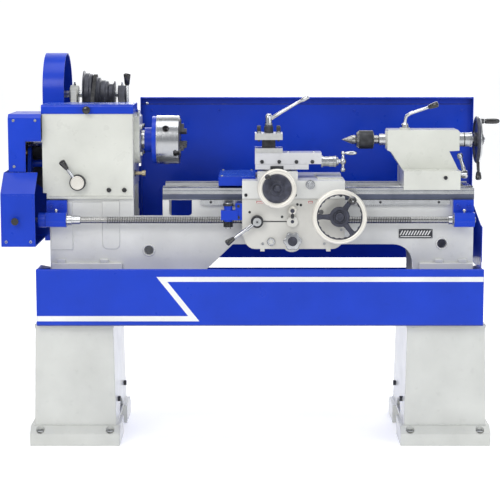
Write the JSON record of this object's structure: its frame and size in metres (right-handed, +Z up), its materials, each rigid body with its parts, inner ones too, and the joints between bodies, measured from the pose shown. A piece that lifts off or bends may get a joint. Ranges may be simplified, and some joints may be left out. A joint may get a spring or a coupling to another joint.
{
  "type": "metal lathe",
  "caption": "Belt-driven centre lathe on two legs: gap bed, cone-pulley headstock with chuck, screw-feed carriage with compound slide, tailstock and chip tray.",
  "frame": {"origin": "floor level, middle of the footprint", "axes": "+X runs along the bed from headstock to tailstock, +Z is up, the operator stands on the -Y side"},
  "size_m": [1.614, 0.698, 1.2579],
  "materials": {
    "legs": "hammered gloss paint on castings",
    "chip_tray": "gloss paint",
    "splash_guard": "gloss paint",
    "bed": "gloss paint with ground sliding faces",
    "rack": "machined steel",
    "fasteners": "blackened steel",
    "headstock": "hammered gloss paint on castings",
    "bearing_cap": "hammered gloss paint on castings",
    "gear_cover_upper": "gloss paint",
    "gear_bracket": "gloss paint",
    "screw_brackets": "gloss paint",
    "countershaft_bracket": "hammered gloss paint on castings",
    "belt_guard": "gloss paint",
    "motor": "satin paint",
    "drive_belts": "matt rubber",
    "spindle": "machined steel",
    "chuck_backplate": "gloss paint",
    "chuck_body": "machined steel",
    "saddle": "gloss paint with ground sliding faces",
    "apron": "gloss paint with ground sliding faces",
    "way_guard": "gloss paint",
    "tailstock_base": "hammered gloss paint on castings",
    "tailstock_body": "hammered gloss paint on castings",
    "jaw_1": "machined steel",
    "jaw_2": "machined steel",
    "jaw_3": "machined steel",
    "cone_pulley": "black paint with polished rims",
    "shift_fork": "machined bronze",
    "back_gears": "machined steel",
    "gear_lever": "machined steel",
    "countershaft": "black paint with polished rims",
    "motor_pulley": "black paint with polished rims",
    "tumbler_gear": "machined bronze",
    "stud_gear": "blackened steel",
    "change_gear": "blackened steel",
    "lead_screw": "machined steel",
    "headstock_lid": "gloss paint",
    "gear_cover_lower": "gloss paint",
    "tension_lever": "machined steel",
    "plunger": "machined bronze",
    "thread_dial": "machined steel",
    "carriage_wheel": "black paint with polished rims",
    "rack_pinion": "machined steel",
    "half_nut_lever": "machined steel",
    "half_nut_upper": "machined bronze",
    "half_nut_lower": "machined bronze",
    "feed_lever": "machined steel",
    "star_knob": "machined steel",
    "cross_slide": "gloss paint with ground sliding faces",
    "cross_wheel": "black paint with polished rims",
    "compound_base": "gloss paint with ground sliding faces",
    "top_slide": "gloss paint with ground sliding faces",
    "ball_crank": "machined steel",
    "tool_post": "machined steel",
    "clamp_lever": "machined steel",
    "quill": "machined steel",
    "live_centre": "blackened steel",
    "tailstock_wheel": "black paint with polished rims",
    "quill_lock": "machined steel",
    "bed_clamp_lever": "machined steel"
  },
  "bodies": {
    "base": {"legs": "legs", "chip_tray": "chip_tray", "splash_guard": "splash_guard", "bed": "bed", "rack": "rack", "fasteners": "fasteners", "headstock": "headstock", "bearing_cap": "bearing_cap", "gear_cover_upper": "gear_cover_upper", "gear_bracket": "gear_bracket", "screw_brackets": "screw_brackets", "countershaft_bracket": "countershaft_bracket", "belt_guard": "belt_guard", "motor": "motor", "drive_belts": "drive_belts"},
    "spindle": {"spindle": "spindle", "chuck_backplate": "chuck_backplate", "chuck_body": "chuck_body"},
    "carriage": {"saddle": "saddle", "apron": "apron", "way_guard": "way_guard"},
    "tailstock": {"tailstock_base": "tailstock_base", "tailstock_body": "tailstock_body"},
    "jaw_1": {"jaw_1": "jaw_1"},
    "jaw_2": {"jaw_2": "jaw_2"},
    "jaw_3": {"jaw_3": "jaw_3"},
    "cone_pulley": {"cone_pulley": "cone_pulley"},
    "shift_fork": {"shift_fork": "shift_fork"},
    "back_gears": {"back_gears": "back_gears"},
    "gear_lever": {"gear_lever": "gear_lever"},
    "countershaft": {"countershaft": "countershaft"},
    "motor_pulley": {"motor_pulley": "motor_pulley"},
    "tumbler_gear": {"tumbler_gear": "tumbler_gear"},
    "stud_gear": {"stud_gear": "stud_gear"},
    "change_gear": {"change_gear": "change_gear"},
    "lead_screw": {"lead_screw": "lead_screw"},
    "headstock_lid": {"headstock_lid": "headstock_lid"},
    "gear_cover_lower": {"gear_cover_lower": "gear_cover_lower"},
    "tension_lever": {"tension_lever": "tension_lever"},
    "plunger": {"plunger": "plunger"},
    "thread_dial": {"thread_dial": "thread_dial"},
    "carriage_wheel": {"carriage_wheel": "carriage_wheel"},
    "rack_pinion": {"rack_pinion": "rack_pinion"},
    "half_nut_lever": {"half_nut_lever": "half_nut_lever"},
    "half_nut_upper": {"half_nut_upper": "half_nut_upper"},
    "half_nut_lower": {"half_nut_lower": "half_nut_lower"},
    "feed_lever": {"feed_lever": "feed_lever"},
    "star_knob": {"star_knob": "star_knob"},
    "cross_slide": {"cross_slide": "cross_slide"},
    "cross_wheel": {"cross_wheel": "cross_wheel"},
    "compound_base": {"compound_base": "compound_base"},
    "top_slide": {"top_slide": "top_slide"},
    "ball_crank": {"ball_crank": "ball_crank"},
    "tool_post": {"tool_post": "tool_post"},
    "clamp_lever": {"clamp_lever": "clamp_lever"},
    "quill": {"quill": "quill"},
    "live_centre": {"live_centre": "live_centre"},
    "tailstock_wheel": {"tailstock_wheel": "tailstock_wheel"},
    "quill_lock": {"quill_lock": "quill_lock"},
    "bed_clamp_lever": {"bed_clamp_lever": "bed_clamp_lever"}
  },
  "joints": [
    {"name": "spindle_spin", "type": "hinge", "parent": "base", "child": "spindle", "pos_m": [-0.5, -0.05, 0.977], "axis": [1, 0, 0], "continuous": true},
    {"name": "jaw_1_slide", "type": "slide", "parent": "spindle", "child": "jaw_1", "axis": [0, 0, 1], "range_m": [-0.006, 0.009]},
    {"name": "jaw_2_slide", "type": "slide", "parent": "spindle", "child": "jaw_2", "axis": [0, -0.866, -0.5], "range_m": [-0.0065, 0.0095]},
    {"name": "jaw_3_slide", "type": "slide", "parent": "spindle", "child": "jaw_3", "axis": [0, 0.866, -0.5], "range_m": [-0.0065, 0.0095]},
    {"name": "cone_pulley_spin", "type": "hinge", "parent": "base", "child": "cone_pulley", "pos_m": [-0.53, -0.05, 0.977], "axis": [1, 0, 0], "continuous": true},
    {"name": "gear_lever_turn", "type": "hinge", "parent": "base", "child": "gear_lever", "pos_m": [-0.57, -0.17, 0.847], "axis": [0, -1, 0], "range_deg": [0, 43]},
    {"name": "fork_slide", "type": "slide", "parent": "base", "child": "shift_fork", "axis": [-1, 0, 0], "range_m": [-0.0005, 0.0225]},
    {"name": "back_gear_spin", "type": "hinge", "parent": "shift_fork", "child": "back_gears", "pos_m": [-0.52, 0.012, 0.90371], "axis": [1, 0, 0], "continuous": true},
    {"name": "countershaft_spin", "type": "hinge", "parent": "base", "child": "countershaft", "pos_m": [-0.52, 0.18, 1.118], "axis": [1, 0, 0], "continuous": true},
    {"name": "motor_pulley_spin", "type": "hinge", "parent": "base", "child": "motor_pulley", "pos_m": [-0.695, 0.25, 0.7], "axis": [1, 0, 0], "continuous": true},
    {"name": "tumbler_gear_spin", "type": "hinge", "parent": "base", "child": "tumbler_gear", "pos_m": [-0.75, -0.10317, 0.93961], "axis": [1, 0, 0], "continuous": true},
    {"name": "stud_gear_spin", "type": "hinge", "parent": "base", "child": "stud_gear", "pos_m": [-0.75, -0.1196, 0.87672], "axis": [1, 0, 0], "continuous": true},
    {"name": "change_gear_spin", "type": "hinge", "parent": "base", "child": "change_gear", "pos_m": [-0.75, -0.1546, 0.8161], "axis": [1, 0, 0], "continuous": true},
    {"name": "lead_screw_spin", "type": "hinge", "parent": "base", "child": "lead_screw", "pos_m": [-0.75, -0.2, 0.727], "axis": [1, 0, 0], "continuous": true},
    {"name": "lid_hinge", "type": "hinge", "parent": "base", "child": "headstock_lid", "pos_m": [-0.537, 0.015, 1.074], "axis": [-1, 0, 0], "range_deg": [0, 80]},
    {"name": "lower_cover_hinge", "type": "hinge", "parent": "base", "child": "gear_cover_lower", "pos_m": [-0.799, -0.011, 0.765], "axis": [0, 0, -1], "range_deg": [0, 100]},
    {"name": "tension_lever_turn", "type": "hinge", "parent": "base", "child": "tension_lever", "pos_m": [-0.43, 0.112, 1.012], "axis": [1, 0, 0], "range_deg": [-12, 12]},
    {"name": "plunger_slide", "type": "slide", "parent": "base", "child": "plunger", "axis": [1, 0, 0], "range_m": [0, 0.012]},
    {"name": "carriage_slide", "type": "slide", "parent": "base", "child": "carriage", "axis": [1, 0, 0], "range_m": [-0.13, 0.08]},
    {"name": "thread_dial_spin", "type": "hinge", "parent": "carriage", "child": "thread_dial", "pos_m": [-0.083, -0.228, 0.74], "axis": [0, 0, 1], "continuous": true},
    {"name": "rack_pinion_spin", "type": "hinge", "parent": "carriage", "child": "rack_pinion", "pos_m": [0.215, -0.2, 0.757], "axis": [0, 1, 0], "continuous": true},
    {"name": "carriage_wheel_spin", "type": "hinge", "parent": "carriage", "child": "carriage_wheel", "pos_m": [0.27213, -0.286, 0.747], "axis": [0, 1, 0], "continuous": true},
    {"name": "half_nut_lever_turn", "type": "hinge", "parent": "carriage", "child": "half_nut_lever", "pos_m": [0.01, -0.25, 0.728], "axis": [0, 1, 0], "range_deg": [0, 45]},
    {"name": "half_nut_upper_slide", "type": "slide", "parent": "carriage", "child": "half_nut_upper", "axis": [0, 0, -1], "range_m": [-0.0002, 0.0057]},
    {"name": "half_nut_lower_slide", "type": "slide", "parent": "carriage", "child": "half_nut_lower", "axis": [0, 0, 1], "range_m": [-0.0002, 0.0057]},
    {"name": "feed_lever_turn", "type": "hinge", "parent": "carriage", "child": "feed_lever", "pos_m": [0.123, -0.25, 0.763], "axis": [0, 1, 0], "range_deg": [-25, 25]},
    {"name": "star_knob_spin", "type": "hinge", "parent": "carriage", "child": "star_knob", "pos_m": [0.123, -0.26, 0.668], "axis": [0, 1, 0], "continuous": true},
    {"name": "cross_slide_move", "type": "slide", "parent": "carriage", "child": "cross_slide", "axis": [0, 1, 0], "range_m": [-0.03, 0.07]},
    {"name": "cross_wheel_spin", "type": "hinge", "parent": "carriage", "child": "cross_wheel", "pos_m": [0.073, -0.29, 0.838], "axis": [0, 1, 0], "continuous": true},
    {"name": "compound_swivel", "type": "hinge", "parent": "cross_slide", "child": "compound_base", "pos_m": [0.075, -0.1, 0.885], "axis": [0, 0, 1], "range_deg": [-45, 45]},
    {"name": "top_slide_move", "type": "slide", "parent": "compound_base", "child": "top_slide", "axis": [1, 0, 0], "range_m": [-0.04, 0.02]},
    {"name": "ball_crank_spin", "type": "hinge", "parent": "top_slide", "child": "ball_crank", "pos_m": [0.28, -0.1, 0.909], "axis": [1, 0, 0], "continuous": true},
    {"name": "tool_post_turn", "type": "hinge", "parent": "top_slide", "child": "tool_post", "pos_m": [0.048, -0.1, 0.97], "axis": [0, 0, 1], "continuous": true},
    {"name": "clamp_lever_turn", "type": "hinge", "parent": "top_slide", "child": "clamp_lever", "pos_m": [0.048, -0.1, 1.03], "axis": [0, 0, 1], "range_deg": [0, 60]},
    {"name": "tailstock_slide", "type": "slide", "parent": "base", "child": "tailstock", "axis": [1, 0, 0], "range_m": [-0.05, 0.03]},
    {"name": "quill_slide", "type": "slide", "parent": "tailstock", "child": "quill", "axis": [-1, 0, 0], "range_m": [-0.01, 0.06]},
    {"name": "live_centre_spin", "type": "hinge", "parent": "quill", "child": "live_centre", "pos_m": [0.37, -0.05, 0.977], "axis": [1, 0, 0], "continuous": true},
    {"name": "tailstock_wheel_spin", "type": "hinge", "parent": "tailstock", "child": "tailstock_wheel", "pos_m": [0.738, -0.05, 0.977], "axis": [1, 0, 0], "continuous": true},
    {"name": "quill_lock_turn", "type": "hinge", "parent": "tailstock", "child": "quill_lock", "pos_m": [0.496, -0.07, 1.02], "axis": [0, 0, 1], "range_deg": [-40, 40]},
    {"name": "bed_clamp_turn", "type": "hinge", "parent": "tailstock", "child": "bed_clamp_lever", "pos_m": [0.69, -0.07, 0.864], "axis": [1, 0, 0], "range_deg": [-25, 25]}
  ],
  "couplings": [
    {"joint": "jaw_2_slide", "follows": "jaw_1_slide", "ratio": 1},
    {"joint": "jaw_3_slide", "follows": "jaw_1_slide", "ratio": 1},
    {"joint": "cone_pulley_spin", "follows": "spindle_spin", "ratio": 5},
    {"joint": "fork_slide", "follows": "gear_lever_turn", "m_per_rad": 0.029314},
    {"joint": "back_gear_spin", "follows": "spindle_spin", "ratio": -3},
    {"joint": "countershaft_spin", "follows": "spindle_spin", "ratio": 3.4746},
    {"joint": "motor_pulley_spin", "follows": "spindle_spin", "ratio": 11.502},
    {"joint": "tumbler_gear_spin", "follows": "spindle_spin", "ratio": -0.85714},
    {"joint": "stud_gear_spin", "follows": "spindle_spin", "ratio": 1},
    {"joint": "change_gear_spin", "follows": "spindle_spin", "ratio": -0.75},
    {"joint": "lead_screw_spin", "follows": "spindle_spin", "ratio": 0.5},
    {"joint": "thread_dial_spin", "follows": "carriage_slide", "rad_per_m": 71.429},
    {"joint": "rack_pinion_spin", "follows": "carriage_slide", "rad_per_m": -66.667},
    {"joint": "carriage_wheel_spin", "follows": "carriage_slide", "rad_per_m": 255.56},
    {"joint": "half_nut_upper_slide", "follows": "half_nut_lever_turn", "m_per_rad": 0.007003},
    {"joint": "half_nut_lower_slide", "follows": "half_nut_lever_turn", "m_per_rad": 0.007003},
    {"joint": "cross_wheel_spin", "follows": "cross_slide_move", "rad_per_m": 1256.6},
    {"joint": "ball_crank_spin", "follows": "top_slide_move", "rad_per_m": 1256.6},
    {"joint": "tailstock_wheel_spin", "follows": "quill_slide", "rad_per_m": 1256.6}
  ]
}
